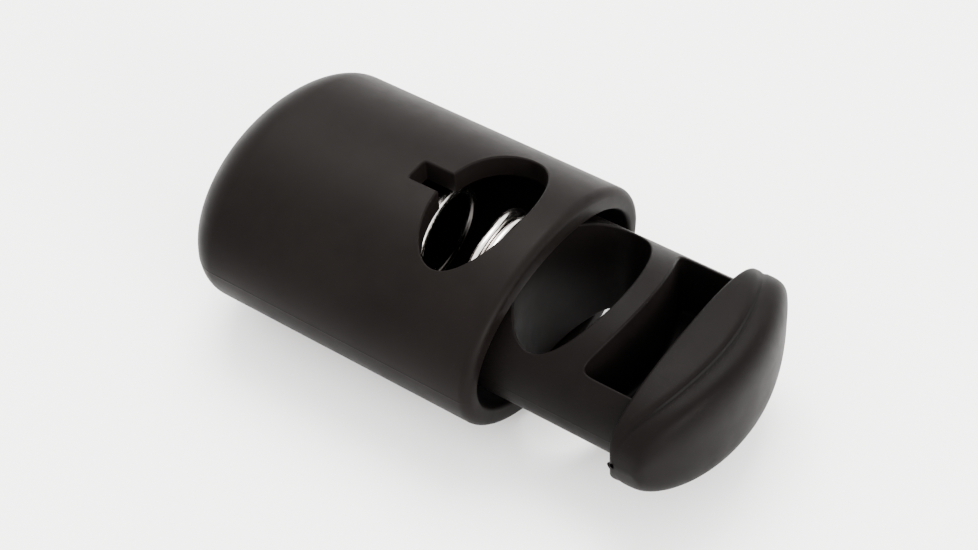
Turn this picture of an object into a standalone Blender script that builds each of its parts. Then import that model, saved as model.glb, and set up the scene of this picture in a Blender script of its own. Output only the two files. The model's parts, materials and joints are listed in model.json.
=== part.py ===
"""Two-cord barrel lock: a cup-shaped barrel, a spring-loaded plunger with a push button, and its spring.

Metres, +Z up. The barrel's axis is X, with the button at +X, and the cords run along Z. The origin is the
middle of the whole lock at rest, on the barrel's axis.
"""

import math

import bmesh
import bpy

MM = 0.001

# Barrel
LENGTH = 29.5 * MM
BARREL_LENGTH = 18.7 * MM
BARREL_HALF_WIDTH = 7.3 * MM
BARREL_HALF_HEIGHT = 5.1 * MM
END_DEPTH = 3.3 * MM
END_LAND = 2.0 * MM
END_WALL = 1.2 * MM
SIDE_WALL = 1.0 * MM
TOP_WALL = 1.2 * MM
LIP_RADIUS = 0.65 * MM

# The barrel's cord hole, and the notch that the snap tooth runs in
HOLE_SETBACK = 3.94 * MM
HOLE_HALF_LENGTH = 2.23 * MM
HOLE_HALF_WIDTH = 4.2 * MM
NOTCH_REACH = 3.78 * MM
NOTCH_HALF_WIDTH = 0.65 * MM

# Plunger
TRAVEL = 5.3 * MM
PLUNGER_HALF_WIDTH = 5.45 * MM
PLUNGER_HALF_HEIGHT = 3.6 * MM
PLUNGER_INSET = 2.25 * MM
PLUNGER_HOLE_HALF_LENGTH = 2.4 * MM
PLUNGER_HOLE_HALF_WIDTH = 4.4 * MM
RIB = 1.2 * MM
POCKET_HALF_WIDTH = 4.25 * MM
POCKET_SAG = 1.0 * MM
POCKET_FLOOR = -1.4 * MM
POST_RADIUS = 2.4 * MM
POST_LENGTH = 1.4 * MM
CHAMFER = 0.3 * MM
NIB_GAP = 0.12 * MM
NIB_THICKNESS = 0.4 * MM
NIB_HALF_WIDTH = 0.42 * MM
NIB_TOP = 4.5 * MM

# Button, the plunger's outer end
BUTTON_THICKNESS = 3.7 * MM
BUTTON_HALF_WIDTH = 6.5 * MM
BUTTON_HALF_HEIGHT = 2.95 * MM
BUTTON_FRONT_SAG = 2.1 * MM
BUTTON_EDGE_DEPTH = 1.25 * MM
BUTTON_TIP_EDGE_DEPTH = 1.1 * MM
BUTTON_TIP_HALF_HEIGHT = 0.4 * MM
BUTTON_CORNER = 0.4 * MM
BUTTON_OVAL = 2.6
BUTTON_EDGE_FULLNESS = 3.4

# Compression spring
WIRE_RADIUS = 0.25 * MM
COIL_RADIUS = 3.3 * MM
SPRING_GAP = 0.3 * MM
SPRING_SEAT = 1.8 * MM
OPEN_PITCH = 3.2 * MM
CLOSED_PITCH = 0.54 * MM
CLOSED_TURNS = 1.15
WIRE_END_ANGLE = math.radians(145)

# Fineness
ROUND_STEPS = 56
POINTS_PER_TURN = 20

CLOSED_END_X = -LENGTH / 2
BORE_END_X = CLOSED_END_X + END_WALL
MOUTH_X = CLOSED_END_X + BARREL_LENGTH
HOLE_X = MOUTH_X - HOLE_SETBACK
PLUNGER_HOLE_X = HOLE_X - HOLE_HALF_LENGTH + TRAVEL + PLUNGER_HOLE_HALF_LENGTH
PLUNGER_END_X = MOUTH_X - PLUNGER_INSET
BUTTON_BACK_X = LENGTH / 2 - BUTTON_THICKNESS
OVERCUT = 1.0 * MM


def clear_scene():
    for obj in list(bpy.data.objects):
        bpy.data.objects.remove(obj, do_unlink=True)


def new_collection(name):
    collection = bpy.data.collections.new(name)
    bpy.context.scene.collection.children.link(collection)
    return collection


def material(name, color, roughness, metallic=0.0):
    mat = bpy.data.materials.new(name)
    mat.use_nodes = True
    shader = mat.node_tree.nodes["Principled BSDF"]
    shader.inputs["Base Color"].default_value = (*color, 1.0)
    shader.inputs["Roughness"].default_value = roughness
    shader.inputs["Metallic"].default_value = metallic
    return mat


def new_object(name, mesh, collection):
    obj = bpy.data.objects.new(name, mesh)
    collection.objects.link(obj)
    return obj


def as_helper(obj):
    """A piece that only shapes another one, so it is not drawn."""
    obj.hide_render = True
    obj.display_type = "WIRE"
    return obj


def combine(target, other, operation):
    boolean = target.modifiers.new(f"{operation.title()} {other.name}", "BOOLEAN")
    boolean.operation = operation
    boolean.solver = "EXACT"
    boolean.object = as_helper(other)


def quarter(steps):
    """Angles from 0 to a right angle, both included."""
    return [math.pi / 2 * i / steps for i in range(steps + 1)]


def turned(name, profile, flatness, collection):
    """Turns a profile of (x, radius) points, given from the button's side back, about X.

    The section is then flattened along Z into an oval.
    """
    mesh = bpy.data.meshes.new(name)
    points = [(radius, 0.0, x) for x, radius in profile]
    mesh.from_pydata(points, [(i, i + 1) for i in range(len(points) - 1)], [])
    obj = new_object(name, mesh, collection)
    screw = obj.modifiers.new("Turn", "SCREW")
    screw.axis = "Z"
    screw.steps = ROUND_STEPS
    screw.render_steps = ROUND_STEPS
    screw.use_merge_vertices = True
    screw.merge_threshold = 1e-6
    bake(obj)
    for vertex in obj.data.vertices:
        across, along, x = vertex.co
        vertex.co = (x, along, -across * flatness)
    obj.data.update()
    return obj


def bake(obj):
    """Replaces an object's mesh by the one its modifiers make."""
    graph = bpy.context.evaluated_depsgraph_get()
    mesh = bpy.data.meshes.new_from_object(obj.evaluated_get(graph))
    obj.modifiers.clear()
    obj.data = mesh


def oval_post(name, x, half_length, half_width, half_height, collection):
    """An upright oval cylinder, as a cord passes."""
    bpy.ops.mesh.primitive_cylinder_add(vertices=ROUND_STEPS, radius=1.0, depth=2.0)
    return placed_primitive(name, (x, 0, 0), (half_length, half_width, half_height), collection)


def block(name, center, size, collection):
    bpy.ops.mesh.primitive_cube_add(size=1.0)
    return placed_primitive(name, center, size, collection)


def placed_primitive(name, center, scale, collection):
    """Names the primitive just added, moves it to its collection and applies its size."""
    obj = bpy.context.object
    obj.name = name
    for owner in list(obj.users_collection):
        owner.objects.unlink(obj)
    collection.objects.link(obj)
    for vertex in obj.data.vertices:
        vertex.co = [part * factor + shift for part, factor, shift in zip(vertex.co, scale, center)]
    return obj


def extruded(name, outline, low, high, collection):
    """A flat outline in the XY plane, given a thickness along Z and made a closed mesh."""
    curve = bpy.data.curves.new(name + " outline", "CURVE")
    curve.dimensions = "2D"
    curve.fill_mode = "BOTH"
    curve.extrude = (high - low) / 2
    spline = curve.splines.new("POLY")
    spline.points.add(len(outline) - 1)
    for point, (x, y) in zip(spline.points, outline):
        point.co = (x, y, 0.0, 1.0)
    spline.use_cyclic_u = True
    shape = meshed(name, curve, collection)
    for vertex in shape.data.vertices:
        vertex.co.z += (high + low) / 2
    return shape


def meshed(name, curve, collection):
    """The closed mesh of a curve, with its loose caps welded on."""
    source = new_object(name + " curve", curve, collection)
    bpy.context.view_layer.update()
    graph = bpy.context.evaluated_depsgraph_get()
    mesh = bpy.data.meshes.new_from_object(source.evaluated_get(graph))
    bpy.data.objects.remove(source, do_unlink=True)
    shape = bmesh.new()
    shape.from_mesh(mesh)
    bmesh.ops.remove_doubles(shape, verts=shape.verts, dist=1e-6)
    bmesh.ops.recalc_face_normals(shape, faces=shape.faces)
    shape.to_mesh(mesh)
    shape.free()
    return new_object(name, mesh, collection)


def signed_power(value, exponent):
    return math.copysign(abs(value) ** exponent, value)


def lofted(name, rings, collection):
    """A closed skin over rings that each have the same number of points."""
    shape = bmesh.new()
    loops = [[shape.verts.new(point) for point in ring] for ring in rings]
    for near, far in zip(loops, loops[1:]):
        for i in range(len(near)):
            j = (i + 1) % len(near)
            shape.faces.new((near[i], near[j], far[j], far[i]))
    shape.faces.new(loops[0])
    shape.faces.new(loops[-1])
    bmesh.ops.recalc_face_normals(shape, faces=shape.faces)
    mesh = bpy.data.meshes.new(name)
    shape.to_mesh(mesh)
    shape.free()
    return new_object(name, mesh, collection)


def end_dome(end_x, depth, half_width, land):
    """The closed end's outline: a flat land in the middle of a shallow oval dome."""
    steps = 9
    points = []
    for angle in quarter(steps)[:-1]:
        points.append((end_x + depth * (1 - math.sin(angle)), half_width * math.cos(angle)))
    points = [(x, radius) for x, radius in points if radius > 1.1 * land]
    return points + [(end_x, land), (end_x, 0.0)]


def barrel_profile():
    lip = []
    for angle in reversed(quarter(4)):
        inset = LIP_RADIUS * (1 - math.cos(angle))
        lip.append((MOUTH_X - LIP_RADIUS * (1 - math.sin(angle)), BARREL_HALF_WIDTH - inset))
    return [(MOUTH_X, 0.0)] + lip + end_dome(CLOSED_END_X, END_DEPTH, BARREL_HALF_WIDTH, END_LAND)


def bore_profile():
    half_width = BARREL_HALF_WIDTH - SIDE_WALL
    mouth = [(MOUTH_X + OVERCUT, 0.0), (MOUTH_X + OVERCUT, half_width)]
    return mouth + end_dome(BORE_END_X, END_DEPTH - SIDE_WALL, half_width, END_LAND)


def make_barrel(parts, cutters):
    flatness = BARREL_HALF_HEIGHT / BARREL_HALF_WIDTH
    barrel = turned("barrel", barrel_profile(), flatness, parts)
    bore_flatness = (BARREL_HALF_HEIGHT - TOP_WALL) / (BARREL_HALF_WIDTH - SIDE_WALL)
    bore = turned("bore", bore_profile(), bore_flatness, cutters)
    height = BARREL_HALF_HEIGHT + OVERCUT
    hole = oval_post("cord hole", HOLE_X, HOLE_HALF_LENGTH, HOLE_HALF_WIDTH, height, cutters)
    notch_size = (NOTCH_REACH, 2 * NOTCH_HALF_WIDTH, height)
    notch = block("nib notch", (HOLE_X - NOTCH_REACH / 2, 0.0, height / 2), notch_size, cutters)
    for cutter in (bore, hole, notch):
        combine(barrel, cutter, "DIFFERENCE")
    return barrel


def plunger_profile():
    outer_x = BUTTON_BACK_X + BUTTON_CORNER
    return [
        (outer_x, 0.0),
        (outer_x, PLUNGER_HALF_WIDTH),
        (PLUNGER_END_X + CHAMFER, PLUNGER_HALF_WIDTH),
        (PLUNGER_END_X, PLUNGER_HALF_WIDTH - CHAMFER),
        (PLUNGER_END_X, 0.0),
    ]


def post_profile():
    tip_x = PLUNGER_END_X - POST_LENGTH
    return [
        (PLUNGER_END_X + OVERCUT, 0.0),
        (PLUNGER_END_X + OVERCUT, POST_RADIUS),
        (tip_x + CHAMFER, POST_RADIUS),
        (tip_x, POST_RADIUS - CHAMFER),
        (tip_x, 0.0),
    ]


def arc_drop(y, half_chord, sag):
    """How far a circular arc of this sag has fallen at y from its middle."""
    radius = (half_chord**2 + sag**2) / (2 * sag)
    return radius - math.sqrt(radius**2 - y**2)


def button_section(y):
    """One slice of the button across its thickness: a flat back, and a front with rounded edges."""
    across = min(abs(y) / BUTTON_HALF_WIDTH, 1.0)
    oval = max(1 - across**BUTTON_OVAL, 0.0) ** (1 / BUTTON_OVAL)
    half_height = max(BUTTON_HALF_HEIGHT * oval, BUTTON_TIP_HALF_HEIGHT)
    into_corner = max(0.0, abs(y) - (BUTTON_HALF_WIDTH - BUTTON_CORNER)) / BUTTON_CORNER
    back_x = BUTTON_BACK_X + BUTTON_CORNER * (1 - math.sqrt(max(0.0, 1 - into_corner**2)))
    front_x = LENGTH / 2 - arc_drop(y, BUTTON_HALF_WIDTH, BUTTON_FRONT_SAG)
    edge_depth = BUTTON_EDGE_DEPTH + (BUTTON_TIP_EDGE_DEPTH - BUTTON_EDGE_DEPTH) * across**2
    power = 2 / BUTTON_EDGE_FULLNESS
    points = [(back_x, y, -half_height)]
    steps = 16
    for i in range(steps + 1):
        angle = math.pi * (i / steps - 0.5)
        x = front_x - edge_depth * (1 - max(0.0, math.cos(angle)) ** power)
        points.append((x, y, half_height * signed_power(math.sin(angle), power)))
    points.append((back_x, y, half_height))
    return points


def button(cutters):
    """An oval slab with a flat back and a domed front."""
    steps = 36
    sections = []
    for i in range(steps + 1):
        y = BUTTON_HALF_WIDTH * math.sin(math.pi * (i / steps - 0.5))
        sections.append(button_section(y))
    return lofted("button", sections, cutters)


def nib(cutters):
    """The snap tooth that stops the plunger: upright towards the mouth, sloped towards the spring."""
    near_x = HOLE_X + HOLE_HALF_LENGTH - NIB_GAP
    far_x = near_x - NIB_THICKNESS
    root = PLUNGER_HALF_HEIGHT - OVERCUT
    size = (NIB_THICKNESS, 2 * NIB_HALF_WIDTH, NIB_TOP - root)
    tooth = block("nib", ((near_x + far_x) / 2, 0.0, (NIB_TOP + root) / 2), size, cutters)
    for vertex in tooth.data.vertices:
        if vertex.co.x < near_x - NIB_THICKNESS / 2 and vertex.co.z > root + OVERCUT / 2:
            vertex.co.z -= NIB_THICKNESS / 2
    return tooth


def pocket_outline():
    """Bounded by the arc of the rib round the cord hole, and closed by the back of the button."""
    steps = 16
    open_x = LENGTH / 2
    rib_x = PLUNGER_HOLE_X + PLUNGER_HOLE_HALF_LENGTH + RIB
    points = [(open_x, -POCKET_HALF_WIDTH), (open_x, POCKET_HALF_WIDTH)]
    for i in range(steps + 1):
        y = POCKET_HALF_WIDTH * (1 - 2 * i / steps)
        points.append((rib_x - arc_drop(y, POCKET_HALF_WIDTH, POCKET_SAG), y))
    return points


def make_plunger(parts, cutters):
    flatness = PLUNGER_HALF_HEIGHT / PLUNGER_HALF_WIDTH
    plunger = turned("plunger", plunger_profile(), flatness, parts)
    post = turned("spring post", post_profile(), 1.0, cutters)
    height = PLUNGER_HALF_HEIGHT + OVERCUT
    pocket = extruded("pocket", pocket_outline(), POCKET_FLOOR, height, cutters)
    combine(plunger, pocket, "DIFFERENCE")
    for piece in (button(cutters), post, nib(cutters)):
        combine(plunger, piece, "UNION")
    hole = oval_post(
        "plunger hole",
        PLUNGER_HOLE_X,
        PLUNGER_HOLE_HALF_LENGTH,
        PLUNGER_HOLE_HALF_WIDTH,
        height,
        cutters,
    )
    combine(plunger, hole, "DIFFERENCE")
    return plunger


def coil_points():
    """A round coil from the closed end to the plunger, with closed-up turns at each end.

    It seats where the bore's rounded end narrows to the coil's own diameter.
    """
    start = BORE_END_X + SPRING_SEAT + WIRE_RADIUS
    stop = PLUNGER_END_X - SPRING_GAP - WIRE_RADIUS
    active_turns = (stop - start - 2 * CLOSED_TURNS * CLOSED_PITCH) / OPEN_PITCH
    turns = active_turns + 2 * CLOSED_TURNS
    count = round(turns * POINTS_PER_TURN)
    points = []
    for i in range(count + 1):
        turn = turns * i / count
        closed = min(turn, CLOSED_TURNS) + max(0.0, turn - CLOSED_TURNS - active_turns)
        x = start + closed * CLOSED_PITCH + (turn - closed) * OPEN_PITCH
        angle = WIRE_END_ANGLE + 2 * math.pi * (turn - turns)
        points.append((x, COIL_RADIUS * math.cos(angle), COIL_RADIUS * math.sin(angle)))
    return points


def make_spring(parts):
    curve = bpy.data.curves.new("spring wire", "CURVE")
    curve.dimensions = "3D"
    curve.bevel_depth = WIRE_RADIUS
    curve.bevel_resolution = 2
    curve.use_fill_caps = True
    points = coil_points()
    spline = curve.splines.new("POLY")
    spline.points.add(len(points) - 1)
    for point, place in zip(spline.points, points):
        point.co = (*place, 1.0)
    return new_object("compression_spring", curve, parts)


def slide_axis(parts):
    """The plunger slides along X from here."""
    axis = bpy.data.objects.new("slide axis", None)
    axis.empty_display_size = 5 * MM
    parts.objects.link(axis)
    return axis


def finish(obj, mat):
    obj.data.materials.clear()
    obj.data.materials.append(mat)
    if obj.type == "MESH":
        obj.data.shade_smooth()
        obj.data.set_sharp_from_angle(angle=math.radians(35))


def main():
    clear_scene()
    parts = new_collection("cord_lock")
    cutters = new_collection("cutters")
    barrel = make_barrel(parts, cutters)
    plunger = make_plunger(parts, cutters)
    spring = make_spring(parts)
    plunger.parent = slide_axis(parts)
    finish(barrel, material("barrel plastic", (0.018, 0.016, 0.016), 0.42))
    finish(plunger, material("plunger plastic", (0.020, 0.018, 0.018), 0.40))
    finish(spring, material("spring steel", (0.62, 0.60, 0.58), 0.22, 1.0))


main()
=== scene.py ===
"""Looks of the cord lock: an oval barrel, a sprung plunger with a push button, and the spring inside.

Lengths are in millimetres, in the CAD's own frame, and each finished mesh is scaled to metres. The
floor, the lights and the shaders are in metres.
"""

import json
import math

import bmesh
import bpy
from mathutils import Matrix, Vector


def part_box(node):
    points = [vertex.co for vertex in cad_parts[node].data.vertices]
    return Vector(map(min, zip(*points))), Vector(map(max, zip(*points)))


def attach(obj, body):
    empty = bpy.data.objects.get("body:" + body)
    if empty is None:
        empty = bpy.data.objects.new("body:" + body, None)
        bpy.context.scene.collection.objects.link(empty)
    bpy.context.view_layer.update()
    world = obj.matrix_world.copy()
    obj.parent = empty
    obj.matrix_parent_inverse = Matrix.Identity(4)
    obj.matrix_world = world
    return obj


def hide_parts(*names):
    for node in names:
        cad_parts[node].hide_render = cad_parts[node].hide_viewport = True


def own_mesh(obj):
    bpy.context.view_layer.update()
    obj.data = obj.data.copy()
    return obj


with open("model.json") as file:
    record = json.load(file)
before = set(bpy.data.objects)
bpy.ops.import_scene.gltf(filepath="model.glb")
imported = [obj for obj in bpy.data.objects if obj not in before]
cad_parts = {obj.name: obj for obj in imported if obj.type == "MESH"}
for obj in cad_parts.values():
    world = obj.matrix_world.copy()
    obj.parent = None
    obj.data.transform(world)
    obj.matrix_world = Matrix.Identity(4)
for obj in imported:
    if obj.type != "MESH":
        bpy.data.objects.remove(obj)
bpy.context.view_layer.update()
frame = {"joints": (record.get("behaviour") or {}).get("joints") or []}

MM = 0.001


def node_box(node):
    low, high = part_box(node)
    return low / MM, high / MM


BARREL_LOW, BARREL_HIGH = node_box("barrel")
PLUNGER_LOW, PLUNGER_HIGH = node_box("plunger")
SPRING_LOW, SPRING_HIGH = node_box("compression_spring")

# Barrel
END_X = BARREL_LOW.x
MOUTH_X = BARREL_HIGH.x
HALF_WIDTH = BARREL_HIGH.y
HALF_HEIGHT = BARREL_HIGH.z
END_DEPTH = 3.3
END_LAND = 0.95
END_WALL = 1.2
SIDE_WALL = 1.0
TOP_WALL = 1.2
LIP_RADIUS = 0.5
INNER_LIP_RADIUS = 0.2
BORE_CAP_RADIUS = 0.5
BARREL_CUT_TOP = 7.0
# The moulding gate's dimple in the closed end: (depth, radius) from its middle outwards
DIMPLE = ((0.12, 0.25), (0.12, 0.55), (0.1, 0.7), (0.02, 0.78), (0.0, 0.86))

# Mould seam along both sides of the barrel and of the plunger. It fades out where the dome is narrower
# than SEAM_FADE_RADIUS, and round the mouth's lip.
SEAM_HEIGHT = 0.012
BODY_SEAM_HEIGHT = 0.01
SEAM_HALF_ANGLE = 0.006
SEAM_FADE_RADIUS = 5
SEAM_FADE_ANGLE = 1.6

# The barrel's cord hole, and the notch that the snap tooth runs in
HOLE_X = MOUTH_X - 3.94
HOLE_HALF_LENGTH = 2.2
HOLE_HALF_WIDTH = 4.15
HOLE_FILLET = 0.12
NOTCH_REACH = 3.9
NOTCH_START = 0.8
NOTCH_HALF_WIDTH = 0.65
NOTCH_FILLET = 0.1
NOTCH_CUT_BOTTOM = 1.0

# Plunger
TRAVEL = frame["joints"][0]["range_m"][1] / MM
BODY_HALF_WIDTH = 5.45
BODY_HALF_HEIGHT = 3.6
BODY_FILLET = 0.14
BODY_END_ROUND = 0.3
BODY_CAP_RADIUS = 1.0
BODY_IN_BUTTON = 0.4
PLUNGER_END_X = MOUTH_X - 2.25
PLUNGER_CUT_TOP = 6.0
PLUNGER_HOLE_HALF_LENGTH = 2.4
PLUNGER_HOLE_X = HOLE_X - HOLE_HALF_LENGTH + TRAVEL + PLUNGER_HOLE_HALF_LENGTH
PLUNGER_HOLE_HALF_WIDTH = 4.4
PLUNGER_HOLE_LOW_HALF_LENGTH = 2.1
PLUNGER_HOLE_LOW_HALF_WIDTH = 3.7
RIB = 1.2
POCKET_HALF_WIDTH = 4.25
POCKET_SAG = 1.0
POCKET_FLOOR = -1.4
POCKET_FOOT = 0.25
POST_RADIUS = 2.4
POST_ROUND = 0.3
POST_IN_BODY = 0.6
POST_TIP_X = PLUNGER_LOW.x

# Snap tooth on the plunger's inner end
NIB_GAP = 0.12
NIB_THICKNESS = 0.4
NIB_HALF_WIDTH = 0.42
NIB_ROOT = 3.2
NIB_TOP = 4.5
NIB_SLOPE = 0.2
NIB_EDGE = 0.07

# Button
BUTTON_FRONT_X = PLUNGER_HIGH.x
BUTTON_BACK_X = BUTTON_FRONT_X - 3.7
BUTTON_HALF_WIDTH = PLUNGER_HIGH.y
BUTTON_HALF_HEIGHT = 2.95
BUTTON_SAG = 2.1
BUTTON_EDGE_DEPTH = 1.25
BUTTON_TIP_EDGE_DEPTH = 1.1
BUTTON_TIP_HALF_HEIGHT = 0.4
BUTTON_TIP_ROUND = 0.3
BUTTON_BACK_ROUND = 0.16
BUTTON_CORNER = 0.4
BUTTON_OVAL = 2.6
BUTTON_EDGE_FULLNESS = 3.4
GROOVE_POINTS = 5
GROOVE_STEP = 0.13
GROOVE_DEPTH = 0.12
GROOVE_ROOM = 0.9
# The torn stub of the moulding gate: its place, and (distance along X, radius) from root to tip
NUB_PLACE = (BUTTON_BACK_X + 0.12, -BUTTON_HALF_WIDTH + 0.62, -0.9)
NUB_PROFILE = ((0.35, 0.24), (0.0, 0.24), (-0.22, 0.2), (-0.36, 0.13), (-0.46, 0.05))

# Spring
WIRE_RADIUS = 0.25
COIL_RADIUS = 3.3
OPEN_PITCH = 3.2
CLOSED_PITCH = 0.54
CLOSED_TURNS = 1.15
WIRE_END_ANGLE = math.radians(145)
# The rounding of the wire's cut ends: (share of the wire's radius, distance past the centre line)
WIRE_END_ROUNDING = ((0.85, 0.03), (0.55, 0.045))

# Fineness of the meshes
STEPS_PER_TURN = 72
WIRE_SIDES = 20
SHARP_DEGREES = 26
SPRING_SHARP_DEGREES = 50
SMALLEST_EDGE = 2e-4
FLARE_LAST_ANGLE = math.radians(62)
FLARE_TAIL = 0.7

# Camera, above the lock, in front of its button and to its near side
CAMERA_DIRECTION = Vector((0.3983, -0.5466, 0.7366))
CAMERA_UP = Vector((-0.4018, 0.6180, 0.6758))
CAMERA_DISTANCE = 99.2
CAMERA_LENS_MM = 77.0


# ---------------------------------------------------------------- mesh tools


def mesh_of(shape, name):
    mesh = bpy.data.meshes.new(name)
    bmesh.ops.recalc_face_normals(shape, faces=shape.faces)
    shape.to_mesh(mesh)
    shape.free()
    return mesh


def new_object(name, mesh):
    obj = bpy.data.objects.new(name, mesh)
    bpy.context.scene.collection.objects.link(obj)
    return obj


def skin(name, rings):
    """A closed skin over rings with equal numbers of points; flat caps close its two end rings."""
    shape = bmesh.new()
    loops = [[shape.verts.new(point) for point in ring] for ring in rings]
    for near, far in zip(loops, loops[1:]):
        for i in range(len(near)):
            j = (i + 1) % len(near)
            shape.faces.new((near[i], near[j], far[j], far[i]))
    shape.faces.new(loops[0])
    shape.faces.new(loops[-1])
    return new_object(name, mesh_of(shape, name))


def apply_modifiers(obj):
    graph = bpy.context.evaluated_depsgraph_get()
    mesh = bpy.data.meshes.new_from_object(obj.evaluated_get(graph))
    obj.modifiers.clear()
    obj.data = mesh


def combined(target, other, operation):
    """Applies one exact Boolean and removes the tool."""
    boolean = target.modifiers.new(operation, "BOOLEAN")
    boolean.operation = operation
    boolean.solver = "EXACT"
    boolean.object = other
    apply_modifiers(target)
    bpy.data.objects.remove(other, do_unlink=True)


def finished(obj, sharp_degrees):
    """Millimetres to metres, and smooth shading with creases kept."""
    shape = bmesh.new()
    shape.from_mesh(obj.data)
    bmesh.ops.dissolve_degenerate(shape, dist=SMALLEST_EDGE, edges=shape.edges)
    shape.to_mesh(obj.data)
    shape.free()
    obj.data.transform(Matrix.Scale(MM, 4))
    obj.data.shade_smooth()
    obj.data.set_sharp_from_angle(angle=math.radians(sharp_degrees))
    obj.data.update()
    return obj


# ---------------------------------------------------------------- outlines


def spread(low, high, steps):
    return [low + (high - low) * i / steps for i in range(steps + 1)]


def signed_power(value, exponent):
    return math.copysign(abs(value) ** exponent, value)


def arc_drop(y, half_chord, sag):
    """How far an arc falls back at y from its top in the middle."""
    radius = (half_chord**2 + sag**2) / (2 * sag)
    return radius - math.sqrt(radius**2 - y**2)


def ellipse(x, half_length, half_width, steps):
    angles = spread(0.0, 2 * math.pi, steps)[:-1]
    return [(x + half_length * math.cos(angle), half_width * math.sin(angle)) for angle in angles]


def softened(outline, spacing, rounds):
    """A closed outline resampled at an even spacing, with its corners rounded by averaging."""
    closed = outline + outline[:1]
    total = sum(math.dist(a, b) for a, b in zip(outline, closed[1:]))
    count = round(total / spacing)
    points = []
    walked, index = 0.0, 0
    for i in range(count):
        goal = total * i / count
        while walked + math.dist(closed[index], closed[index + 1]) < goal:
            walked += math.dist(closed[index], closed[index + 1])
            index += 1
        share = (goal - walked) / math.dist(closed[index], closed[index + 1])
        points.append(tuple(a + (b - a) * share for a, b in zip(closed[index], closed[index + 1])))
    for _ in range(rounds):
        neighbours = zip(points[-1:] + points[:-1], points, points[1:] + points[:1])
        points = [tuple((p + 2 * q + r) / 4 for p, q, r in zip(*three)) for three in neighbours]
    return points


def outward(outline):
    """Unit normals of a counter-clockwise outline, pointing away from its inside."""
    normals = []
    for before, after in zip(outline[-1:] + outline[:-1], outline[1:] + outline[:1]):
        dx, dy = after[0] - before[0], after[1] - before[1]
        length = math.hypot(dx, dy)
        normals.append((dy / length, -dx / length))
    return normals


# ---------------------------------------------------------------- cutters


def oval_height(half_width, flatness):
    """The height of an oval bar's upper surface, as a function of y."""
    return lambda y: half_width * flatness * math.sqrt(max(0.0, 1 - (y / half_width) ** 2))


def flare(outline, surface, fillet, top):
    """Rings of a cutter that leaves a rounded rim where its outline meets the curved surface."""
    last = FLARE_LAST_ANGLE
    profile = []
    for angle in spread(0.0, last, steps=5):
        profile.append((fillet * (1 - math.cos(angle)), -fillet * (1 - math.sin(angle))))
    reach, rise = profile[-1]
    tail = FLARE_TAIL * fillet
    profile.append((reach + tail * math.sin(last), rise + tail * math.cos(last)))
    normals = outward(outline)
    rings = []
    for offset, lift in profile:
        ring = []
        for (x, y), (nx, ny) in zip(outline, normals):
            wide_y = y + ny * offset
            ring.append((x + nx * offset, wide_y, surface(wide_y) + lift))
        rings.append(ring)
    rings.append([(x, y, top) for x, y, _ in rings[-1]])
    return rings


def through_cutter(name, outline, low_outline, surface, fillet, top):
    """Cuts both the upper and the lower wall, each with a rounded rim."""
    lower = [[(x, y, -z) for x, y, z in ring] for ring in flare(low_outline, surface, fillet, top)]
    return skin(name, lower[::-1] + flare(outline, surface, fillet, top))


# ---------------------------------------------------------------- oval bars


def ring_angles(steps):
    """Even angles, with a fine group at each side for the mould seam."""
    angles = []
    for side in (0.0, math.pi):
        for offset in (-2, -1, 0, 1, 2):
            angles.append(side + offset * SEAM_HALF_ANGLE)
    gap = 2.5 * SEAM_HALF_ANGLE
    for i in range(steps):
        angle = 2 * math.pi * (i + 0.5) / steps
        clear = min(abs(angle - side) for side in (0.0, math.pi, 2 * math.pi))
        if clear > gap:
            angles.append(angle)
    return sorted(angles)


def oval_ring(x, half_width, flatness, angles, seam=0.0):
    points = []
    for angle in angles:
        from_side = min(abs(angle), abs(angle - math.pi), abs(angle - 2 * math.pi))
        ridge = seam * max(0.0, 1 - from_side / (1.5 * SEAM_HALF_ANGLE))
        y = (half_width + ridge) * math.cos(angle)
        points.append((x, y, half_width * flatness * math.sin(angle)))
    return points


def dome(end_x, depth, half_width, steps):
    """(x, half width) along a quarter ellipse, from the straight side in to the flat land."""
    points = []
    for angle in spread(0.0, math.pi / 2, steps):
        radius = half_width * math.cos(angle)
        if radius < END_LAND:
            break
        points.append((end_x + depth * (1 - math.sin(angle)), radius))
    return points


# ---------------------------------------------------------------- barrel


def barrel_outside(half_width, flatness, angles):
    """Rings from the closed end's dimple over the dome, along the side and round the mouth's lip."""
    rings = [oval_ring(END_X + depth, radius, flatness, angles) for depth, radius in DIMPLE]
    for x, radius in reversed(dome(END_X, END_DEPTH, half_width, steps=44)):
        seam = SEAM_HEIGHT * min(1.0, radius / SEAM_FADE_RADIUS)
        rings.append(oval_ring(x, radius, flatness, angles, seam))
    for x in spread(END_X + END_DEPTH, MOUTH_X - LIP_RADIUS, steps=34)[1:]:
        rings.append(oval_ring(x, half_width, flatness, angles, SEAM_HEIGHT))
    for angle in spread(0.0, math.pi / 2, steps=10)[1:]:
        x = MOUTH_X - LIP_RADIUS * (1 - math.sin(angle))
        radius = half_width - LIP_RADIUS * (1 - math.cos(angle))
        seam = SEAM_HEIGHT * (1 - angle / SEAM_FADE_ANGLE)
        rings.append(oval_ring(x, radius, flatness, angles, seam))
    return rings


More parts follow.
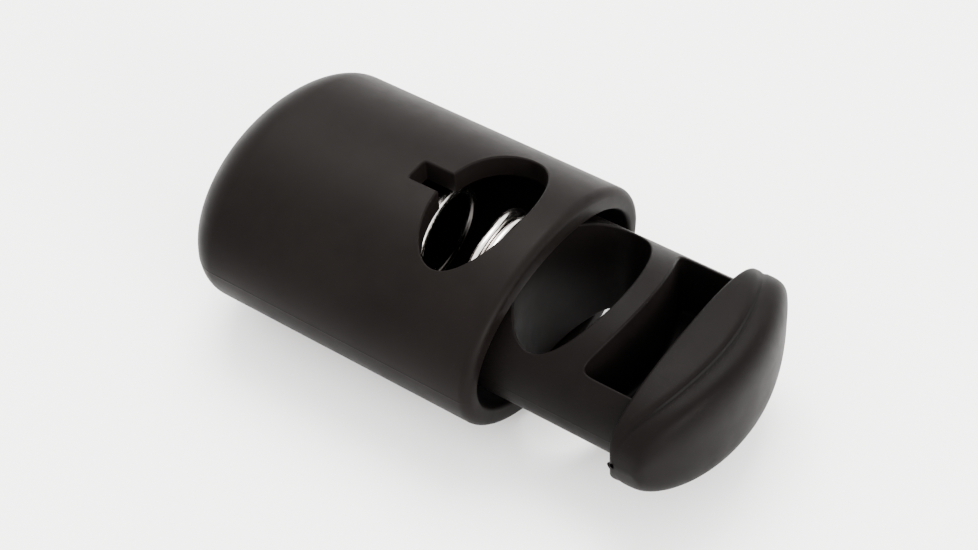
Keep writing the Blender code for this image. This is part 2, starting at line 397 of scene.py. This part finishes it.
def barrel_inside(angles):
    """Rings from the mouth's inner lip along the bore to the closed end's inner face."""
    bore = HALF_WIDTH - SIDE_WALL
    flatness = (HALF_HEIGHT - TOP_WALL) / bore
    bore_end = END_X + END_WALL
    dome_depth = END_DEPTH - SIDE_WALL
    rings = []
    for angle in spread(0.0, math.pi / 2, steps=5):
        x = MOUTH_X - INNER_LIP_RADIUS * (1 - math.cos(angle))
        rings.append(oval_ring(x, bore + INNER_LIP_RADIUS * (1 - math.sin(angle)), flatness, angles))
    for x in spread(MOUTH_X - INNER_LIP_RADIUS, bore_end + dome_depth, steps=26)[1:]:
        rings.append(oval_ring(x, bore, flatness, angles))
    for x, radius in dome(bore_end, dome_depth, bore, steps=14)[1:]:
        rings.append(oval_ring(x, radius, flatness, angles))
    rings.append(oval_ring(bore_end, BORE_CAP_RADIUS, flatness, angles))
    return rings


def notch_cutter(surface):
    """Cuts the square notch, with soft corners, through the upper wall only."""
    far, near = HOLE_X - NOTCH_REACH, HOLE_X - NOTCH_START
    side = NOTCH_HALF_WIDTH
    corners = [(far, side), (far, -side), (near, -side), (near, side)]
    outline = softened(corners, spacing=0.07, rounds=3)
    bottom = [(x, y, NOTCH_CUT_BOTTOM) for x, y in outline]
    return skin("notch", [bottom] + flare(outline, surface, NOTCH_FILLET, BARREL_CUT_TOP))


def make_barrel():
    angles = ring_angles(steps=168)
    half_width = HALF_WIDTH - SEAM_HEIGHT
    flatness = HALF_HEIGHT / HALF_WIDTH
    barrel = skin("barrel_shell", barrel_outside(half_width, flatness, angles) + barrel_inside(angles))
    surface = oval_height(half_width, flatness)
    hole = ellipse(HOLE_X, HOLE_HALF_LENGTH, HOLE_HALF_WIDTH, steps=144)
    hole_cutter = through_cutter("hole", hole, hole, surface, HOLE_FILLET, BARREL_CUT_TOP)
    combined(barrel, hole_cutter, "DIFFERENCE")
    combined(barrel, notch_cutter(surface), "DIFFERENCE")
    return finished(barrel, SHARP_DEGREES)


# ---------------------------------------------------------------- button


def button_rim(y, half_height, back_x, edge_x):
    """The button's upper rim at y: a rounded back edge, a flat band and a shallow groove."""
    round_back = min(BUTTON_BACK_ROUND, 0.4 * (edge_x - back_x), 0.4 * half_height)
    rim = []
    for angle in spread(math.pi / 2, 0.0, steps=4):
        x = back_x + round_back * (1 - math.sin(angle))
        rim.append((x, y, half_height - round_back * (1 - math.cos(angle))))
    band_x = rim[-1][0]
    groove = min(1.0, (edge_x - band_x) / GROOVE_ROOM)
    groove_start = edge_x - GROOVE_POINTS * GROOVE_STEP * groove
    for share in (0.3, 0.6, 0.85):
        rim.append((band_x + (groove_start - band_x) * share, y, half_height))
    depth = GROOVE_DEPTH * groove * min(1.0, half_height)
    for i in range(GROOVE_POINTS):
        dip = depth * math.sin(math.pi * i / GROOVE_POINTS) ** 2
        rim.append((groove_start + i * GROOVE_STEP * groove, y, half_height - dip))
    return rim


def button_section(y):
    """One slice of the button: a flat back with rounded edges, a flat rim, and a domed front."""
    across = min(abs(y) / BUTTON_HALF_WIDTH, 1.0)
    oval = max(1 - across**BUTTON_OVAL, 0.0) ** (1 / BUTTON_OVAL)
    into_tip = max(0.0, abs(y) - (BUTTON_HALF_WIDTH - BUTTON_TIP_ROUND)) / BUTTON_TIP_ROUND
    tip_round = BUTTON_TIP_ROUND * (1 - math.sqrt(max(0.0, 1 - into_tip**2)))
    half_height = max(BUTTON_HALF_HEIGHT * oval, BUTTON_TIP_HALF_HEIGHT) - tip_round
    into_corner = max(0.0, abs(y) - (BUTTON_HALF_WIDTH - BUTTON_CORNER)) / BUTTON_CORNER
    back_x = BUTTON_BACK_X + BUTTON_CORNER * (1 - math.sqrt(max(0.0, 1 - into_corner**2)))
    front_x = BUTTON_FRONT_X - arc_drop(y, BUTTON_HALF_WIDTH, BUTTON_SAG) - tip_round
    edge_depth = BUTTON_EDGE_DEPTH + (BUTTON_TIP_EDGE_DEPTH - BUTTON_EDGE_DEPTH) * across**2
    rim = button_rim(y, half_height, back_x, front_x - edge_depth)
    points = [(x, y, -z) for x, y, z in rim]
    power = 2 / BUTTON_EDGE_FULLNESS
    steps = 40
    for i in range(steps + 1):
        angle = math.pi * (i / steps - 0.5)
        x = front_x - edge_depth * (1 - max(0.0, math.cos(angle)) ** power)
        points.append((x, y, half_height * signed_power(math.sin(angle), power)))
    return points + rim[::-1]


def make_button():
    steps = 72
    places = [BUTTON_HALF_WIDTH * math.sin(math.pi * (i / steps - 0.5)) for i in range(steps + 1)]
    return skin("button", [button_section(y) for y in places])


def make_gate_nub():
    """The torn stub of the moulding gate, at the button's near lower corner."""
    x, y, z = NUB_PLACE
    rings = []
    for reach, radius in NUB_PROFILE:
        ring = []
        for angle in spread(0.0, 2 * math.pi, steps=14)[:-1]:
            ragged = 1 + 0.16 * math.sin(3 * angle + 4 * reach) + 0.1 * math.sin(5 * angle + 1.0)
            across = radius * ragged
            ring.append((x + reach, y + across * math.cos(angle), z + across * math.sin(angle)))
        rings.append(ring)
    return skin("gate nub", rings)


# ---------------------------------------------------------------- plunger


def make_body(half_width, flatness):
    """The oval bar that runs in the bore, with its inner end rounded over."""
    angles = ring_angles(steps=144)
    rings = [oval_ring(PLUNGER_END_X, BODY_CAP_RADIUS, flatness, angles)]
    for angle in spread(math.pi / 2, 0.0, steps=5):
        x = PLUNGER_END_X + BODY_END_ROUND * (1 - math.sin(angle))
        inset = BODY_END_ROUND * (1 - math.cos(angle))
        rings.append(oval_ring(x, half_width - inset, flatness, angles))
    for x in spread(PLUNGER_END_X + BODY_END_ROUND, BUTTON_BACK_X + BODY_IN_BUTTON, steps=26)[1:]:
        rings.append(oval_ring(x, half_width, flatness, angles, BODY_SEAM_HEIGHT))
    return skin("plunger_slide", rings)


def pocket_outline():
    """The blind pocket between the curved rib and the button's back, with soft corners at the rib."""
    rib_x = PLUNGER_HOLE_X + PLUNGER_HOLE_HALF_LENGTH + RIB
    points = [(BUTTON_FRONT_X, -POCKET_HALF_WIDTH), (BUTTON_FRONT_X, POCKET_HALF_WIDTH)]
    for y in spread(POCKET_HALF_WIDTH, -POCKET_HALF_WIDTH, steps=40):
        points.append((rib_x - arc_drop(y, POCKET_HALF_WIDTH, POCKET_SAG), y))
    return softened(points, spacing=0.12, rounds=26)


def pocket_cutter(surface):
    """Cuts the pocket into the upper face, with a rounded rim and a rounded foot."""
    outline = pocket_outline()
    normals = outward(outline)
    rings = []
    for angle in spread(math.pi / 2, 0.0, steps=5):
        inset = POCKET_FOOT * (1 - math.cos(angle))
        z = POCKET_FLOOR + POCKET_FOOT * (1 - math.sin(angle))
        rings.append([(x - nx * inset, y - ny * inset, z) for (x, y), (nx, ny) in zip(outline, normals)])
    return skin("pocket", rings + flare(outline, surface, BODY_FILLET, PLUNGER_CUT_TOP))


def turned_post():
    """The round post that centres the spring, with its tip rounded over."""
    profile = [(PLUNGER_END_X + POST_IN_BODY, POST_RADIUS), (POST_TIP_X + POST_ROUND, POST_RADIUS)]
    for angle in spread(math.pi / 8, math.pi / 2, steps=3):
        x = POST_TIP_X + POST_ROUND * (1 - math.sin(angle))
        profile.append((x, POST_RADIUS - POST_ROUND * (1 - math.cos(angle))))
    turn = spread(0, 2 * math.pi, STEPS_PER_TURN)[:-1]
    rings = []
    for x, radius in profile:
        rings.append([(x, radius * math.cos(angle), radius * math.sin(angle)) for angle in turn])
    return skin("post", rings)


def make_nib():
    """The snap tooth: upright towards the mouth, sloped towards the spring, with softened edges."""
    near_x = HOLE_X + HOLE_HALF_LENGTH - NIB_GAP
    far_x = near_x - NIB_THICKNESS
    far_top = NIB_TOP - NIB_SLOPE
    side = NIB_HALF_WIDTH
    corners = [(far_x, -side, far_top), (near_x, -side, NIB_TOP)]
    corners += [(near_x, side, NIB_TOP), (far_x, side, far_top)]
    shape = bmesh.new()
    low = [shape.verts.new((x, y, NIB_ROOT)) for x, y, _ in corners]
    high = [shape.verts.new(corner) for corner in corners]
    shape.faces.new(low)
    shape.faces.new(high)
    for i in range(4):
        j = (i + 1) % 4
        shape.faces.new((low[i], low[j], high[j], high[i]))
    middle_z = (NIB_ROOT + NIB_TOP) / 2
    upper = [edge for edge in shape.edges if max(vertex.co.z for vertex in edge.verts) > middle_z]
    bmesh.ops.bevel(shape, geom=upper, offset=NIB_EDGE, segments=3, affect="EDGES", profile=0.5)
    return new_object("nib", mesh_of(shape, "nib"))


def make_plunger():
    half_width = BODY_HALF_WIDTH - BODY_SEAM_HEIGHT
    flatness = BODY_HALF_HEIGHT / BODY_HALF_WIDTH
    surface = oval_height(half_width, flatness)
    plunger = make_body(half_width, flatness)
    combined(plunger, pocket_cutter(surface), "DIFFERENCE")
    for piece in (make_button(), turned_post(), make_nib(), make_gate_nub()):
        combined(plunger, piece, "UNION")
    hole = ellipse(PLUNGER_HOLE_X, PLUNGER_HOLE_HALF_LENGTH, PLUNGER_HOLE_HALF_WIDTH, steps=128)
    low_hole = ellipse(PLUNGER_HOLE_X, PLUNGER_HOLE_LOW_HALF_LENGTH, PLUNGER_HOLE_LOW_HALF_WIDTH, steps=128)
    cutter = through_cutter("plunger hole", hole, low_hole, surface, BODY_FILLET, PLUNGER_CUT_TOP)
    combined(plunger, cutter, "DIFFERENCE")
    return finished(plunger, SHARP_DEGREES)


# ---------------------------------------------------------------- spring


def coil_centres():
    """Points along the wire's centre line, with closed-up turns at each end of the coil."""
    start = SPRING_LOW.x + WIRE_RADIUS
    span = SPRING_HIGH.x - WIRE_RADIUS - start
    active_turns = (span - 2 * CLOSED_TURNS * CLOSED_PITCH) / OPEN_PITCH
    turns = active_turns + 2 * CLOSED_TURNS
    centres = []
    for turn in spread(0.0, turns, round(turns * STEPS_PER_TURN)):
        closed = min(turn, CLOSED_TURNS) + max(0.0, turn - CLOSED_TURNS - active_turns)
        x = start + closed * CLOSED_PITCH + (turn - closed) * OPEN_PITCH
        angle = WIRE_END_ANGLE + 2 * math.pi * (turn - turns)
        centres.append(Vector((x, COIL_RADIUS * math.cos(angle), COIL_RADIUS * math.sin(angle))))
    return centres


def wire_stations(last):
    """(index of the centre, share of the wire's radius, distance past the centre) from end to end."""
    stations = [(0, share, -push) for share, push in reversed(WIRE_END_ROUNDING)]
    stations += [(i, 1.0, 0.0) for i in range(last + 1)]
    stations += [(last, share, push) for share, push in WIRE_END_ROUNDING]
    return stations


def wire_ring(centres, i, share, push):
    """Points round the wire at one station."""
    last = len(centres) - 1
    along = (centres[min(i + 1, last)] - centres[max(i - 1, 0)]).normalized()
    outwards = Vector((0, centres[i].y, centres[i].z)).normalized()
    outwards = (outwards - along * outwards.dot(along)).normalized()
    sideways = along.cross(outwards)
    middle = centres[i] + along * push
    ring = []
    for side in range(WIRE_SIDES):
        angle = 2 * math.pi * side / WIRE_SIDES
        spoke = outwards * math.cos(angle) + sideways * math.sin(angle)
        ring.append(middle + spoke * WIRE_RADIUS * share)
    return ring


def make_spring():
    """Drawn wire wound into a coil, with rounded cut ends and with UVs along and round the wire."""
    centres = coil_centres()
    shape = bmesh.new()
    uv = shape.loops.layers.uv.new("Wire")
    loops = []
    lengths = []
    walked = 0.0
    previous = 0
    for i, share, push in wire_stations(len(centres) - 1):
        walked += (centres[i] - centres[previous]).length
        previous = i
        lengths.append(walked + push)
        loops.append([shape.verts.new(point) for point in wire_ring(centres, i, share, push)])
    for n in range(len(loops) - 1):
        for k in range(WIRE_SIDES):
            m = (k + 1) % WIRE_SIDES
            face = shape.faces.new((loops[n][k], loops[n][m], loops[n + 1][m], loops[n + 1][k]))
            corners = ((n, k), (n, k + 1), (n + 1, k + 1), (n + 1, k))
            for loop, (row, column) in zip(face.loops, corners):
                loop[uv].uv = (lengths[row], column / WIRE_SIDES)
    shape.faces.new(loops[0])
    shape.faces.new(loops[-1])
    return finished(new_object("spring_coil", mesh_of(shape, "spring_coil")), SPRING_SHARP_DEGREES)


# ---------------------------------------------------------------- materials


class Nodes:
    """A short way to add and link shader nodes."""

    def __init__(self, material):
        material.use_nodes = True
        self.tree = material.node_tree
        self.shader = self.tree.nodes["Principled BSDF"]

    def feed(self, socket, value):
        """Links an output to a socket, or sets the socket to a constant."""
        if isinstance(value, bpy.types.NodeSocket):
            self.tree.links.new(value, socket)
        else:
            socket.default_value = value

    def add(self, kind, inputs=(), **settings):
        node = self.tree.nodes.new(kind)
        for name, value in settings.items():
            setattr(node, name, value)
        for name, value in dict(inputs).items():
            self.feed(node.inputs[name], value)
        return node

    def surface(self, **inputs):
        """Sets inputs of the surface shader, each named with underscores for spaces."""
        for name, value in inputs.items():
            self.feed(self.shader.inputs[name.replace("_", " ")], value)

    def place(self):
        return self.add("ShaderNodeTexCoord").outputs["Object"]

    def noise(self, vector, scale, detail, roughness):
        inputs = {"Vector": vector, "Scale": scale, "Detail": detail, "Roughness": roughness}
        return self.add("ShaderNodeTexNoise", inputs).outputs["Fac"]

    def stretched(self, vector, scale):
        return self.add("ShaderNodeMapping", {"Vector": vector, "Scale": scale}).outputs[0]

    def remap(self, value, low, high, out_low, out_high):
        inputs = {0: value, 1: low, 2: high, 3: out_low, 4: out_high}
        return self.add("ShaderNodeMapRange", inputs).outputs[0]

    def math(self, operation, a, b):
        return self.add("ShaderNodeMath", {0: a, 1: b}, operation=operation).outputs[0]

    def weighted(self, value, weight):
        return self.math("MULTIPLY", value, weight)

    def mix(self, share, a, b):
        return self.add("ShaderNodeMix", {0: share, 6: a, 7: b}, data_type="RGBA").outputs[2]

    def bump(self, strength, distance, height):
        inputs = {"Strength": strength, "Distance": distance, "Height": height}
        return self.add("ShaderNodeBump", inputs).outputs[0]


def plastic(name, dark, light, roughness, grain_scale):
    """Satin moulded plastic: fine grain, flow marks, faint scuffs, worn edges, and painted shade darkening
    its hollows.
    """
    # Near black, for the painted shade in hollows and grooves
    painted_shade_black = (0.0008, 0.0007, 0.0006, 1.0)
    material = bpy.data.materials.new(name)
    nodes = Nodes(material)
    place = nodes.place()
    grain = nodes.noise(place, grain_scale, detail=2.0, roughness=0.55)
    flow = nodes.noise(place, 260.0, detail=3.0, roughness=0.5)
    cloud = nodes.noise(place, 900.0, detail=4.0, roughness=0.6)
    streaks = nodes.noise(nodes.stretched(place, (0.12, 1.0, 1.0)), 5200.0, detail=2.0, roughness=0.6)
    scuff = nodes.remap(streaks, 0.66, 0.74, 0.0, 1.0)
    scuff = nodes.math("MULTIPLY", scuff, nodes.remap(flow, 0.5, 0.68, 0.0, 1.0))
    pointiness = nodes.add("ShaderNodeNewGeometry").outputs["Pointiness"]
    edge = nodes.remap(pointiness, 0.505, 0.56, 0.0, 1.0)
    # Concave places are darkened towards near black: painted shade in hollows and grooves
    painted_hollow_shade = nodes.remap(pointiness, 0.44, 0.495, 1.0, 0.0)
    marks = nodes.math("ADD", flow, nodes.weighted(cloud, 0.5))
    tint = nodes.remap(marks, 0.55, 0.95, 0.0, 0.55)
    worn = nodes.math("MAXIMUM", nodes.weighted(edge, 0.5), nodes.weighted(scuff, 0.35))
    moulded = nodes.mix(nodes.math("MAXIMUM", tint, worn), (*dark, 1.0), (*light, 1.0))
    unevenness = nodes.math("ADD", cloud, nodes.weighted(scuff, 0.5))
    height = nodes.math("ADD", grain, nodes.weighted(cloud, 0.35))
    height = nodes.math("SUBTRACT", height, nodes.weighted(scuff, 0.5))
    nodes.surface(
        Base_Color=nodes.mix(painted_hollow_shade, moulded, painted_shade_black),
        Roughness=nodes.remap(unevenness, 0.3, 1.0, roughness - 0.035, roughness + 0.09),
        Normal=nodes.bump(strength=0.35, distance=0.00001, height=height),
        IOR=1.5,
        Specular_IOR_Level=0.03,
    )
    return material


def spring_steel():
    """Bright drawn wire with fine lines along it and a little staining, with painted shade darkening it low
    down in the bore.
    """
    dull_steel = (0.52, 0.49, 0.47, 1.0)
    bright_steel = (0.80, 0.77, 0.75, 1.0)
    # Near black, for the painted shade on the coil's lower part
    painted_shade_steel = (0.02, 0.018, 0.016, 1.0)
    material = bpy.data.materials.new("spring_steel_wire")
    nodes = Nodes(material)
    wire = nodes.add("ShaderNodeUVMap", uv_map="Wire").outputs[0]
    drawn = nodes.noise(nodes.stretched(wire, (0.35, 26.0, 1.0)), 2.0, detail=4.0, roughness=0.6)
    place = nodes.place()
    stain = nodes.noise(place, 1100.0, detail=3.0, roughness=0.5)
    tone = nodes.remap(nodes.math("ADD", drawn, stain), 0.7, 1.35, 0.0, 1.0)
    # The wire darkens towards the bottom of the coil by height: painted shade of the bore, not dirt
    height = nodes.add("ShaderNodeSeparateXYZ", {0: place}).outputs["Z"]
    painted_shade = nodes.remap(height, -0.0017, -0.0008, 0.96, 0.0)
    nodes.surface(
        Base_Color=nodes.mix(painted_shade, nodes.mix(tone, dull_steel, bright_steel), painted_shade_steel),
        Roughness=nodes.remap(stain, 0.3, 0.7, 0.14, 0.26),
        Normal=nodes.bump(strength=0.25, distance=0.000006, height=drawn),
        Metallic=1.0,
    )
    return material


def floor_paper():
    """Plain pale backdrop paper."""
    material = bpy.data.materials.new("floor_paper")
    nodes = Nodes(material)
    fibre = nodes.noise(nodes.place(), 900.0, detail=3.0, roughness=0.6)
    nodes.surface(
        Base_Color=nodes.mix(fibre, (0.90, 0.90, 0.90, 1.0), (0.93, 0.93, 0.93, 1.0)),
        Roughness=0.9,
        Specular_IOR_Level=0.1,
    )
    return material


# ---------------------------------------------------------------- stage


def make_floor():
    """A wide sheet that curves up behind the object."""
    half_width, front, back, height, bend = 0.6, 0.6, 0.55, 0.35, 0.12
    low = -HALF_HEIGHT * MM
    profile = [(-front, low), (back - bend, low)]
    for angle in spread(0.0, math.pi / 2, steps=16)[1:]:
        profile.append((back - bend + bend * math.sin(angle), low + bend * (1 - math.cos(angle))))
    profile.append((back, low + height))
    shape = bmesh.new()
    left, right = ([shape.verts.new((x, y, z)) for y, z in profile] for x in (-half_width, half_width))
    for i in range(len(profile) - 1):
        shape.faces.new((left[i], right[i], right[i + 1], left[i + 1]))
    floor = new_object("floor", mesh_of(shape, "floor"))
    floor.data.shade_smooth()
    floor.data.materials.append(floor_paper())


def area_light(name, place, size, power, color):
    """A square softbox that faces the lock."""
    light = bpy.data.lights.new(name, "AREA")
    light.shape = "RECTANGLE"
    light.size = size
    light.size_y = size
    light.energy = power
    light.color = color
    obj = bpy.data.objects.new(name, light)
    obj.location = place
    obj.rotation_mode = "QUATERNION"
    obj.rotation_quaternion = (-Vector(place)).to_track_quat("-Z", "Y")
    bpy.context.scene.collection.objects.link(obj)


def make_lights():
    area_light("key", place=(-0.10, 0.16, 0.40), size=0.26, power=5.0, color=(1.0, 0.975, 0.95))
    area_light("front", place=(0.42, -0.10, 0.14), size=0.20, power=3.5, color=(1.0, 0.96, 0.94))
    world = bpy.data.worlds.new("studio")
    world.use_nodes = True
    background = world.node_tree.nodes["Background"]
    background.inputs["Color"].default_value = (1.0, 0.985, 0.97, 1.0)
    background.inputs["Strength"].default_value = 3.6
    bpy.context.scene.world = world


def make_camera():
    """Looks at the middle of the lock, in the middle of the picture."""
    place = Vector((MOUTH_X, 0.0, 0.0)) + CAMERA_DIRECTION.normalized() * CAMERA_DISTANCE
    towards = place.normalized()
    right = CAMERA_UP.cross(towards).normalized()
    up = towards.cross(right)
    data = bpy.data.cameras.new("camera")
    data.sensor_width = 36.0
    data.lens = CAMERA_LENS_MM
    data.clip_start = 0.005
    data.clip_end = 10.0
    camera = bpy.data.objects.new("camera", data)
    turn = Matrix((right, up, towards)).transposed().to_quaternion()
    camera.matrix_world = Matrix.LocRotScale(place * MM, turn, None)
    bpy.context.scene.collection.objects.link(camera)
    bpy.context.scene.camera = camera


# ---------------------------------------------------------------- assembly


def dress(piece, material, body, node):
    piece.data.materials.clear()
    piece.data.materials.append(material)
    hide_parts(node)
    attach(piece, body)


def add_barrel():
    material = plastic(
        "barrel_satin",
        dark=(0.0028, 0.0022, 0.0020),
        light=(0.0045, 0.0036, 0.0033),
        roughness=0.46,
        grain_scale=14000.0,
    )
    dress(make_barrel(), material, "barrel", "barrel")


def add_plunger():
    material = plastic(
        "plunger_satin",
        dark=(0.0019, 0.0015, 0.0014),
        light=(0.0034, 0.0027, 0.0025),
        roughness=0.48,
        grain_scale=12000.0,
    )
    dress(make_plunger(), material, "plunger", "plunger")


def add_spring():
    spring = make_spring()
    dress(spring, spring_steel(), "barrel", "compression_spring")
    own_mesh(spring)


add_barrel()
add_plunger()
add_spring()
make_floor()
make_lights()
make_camera()
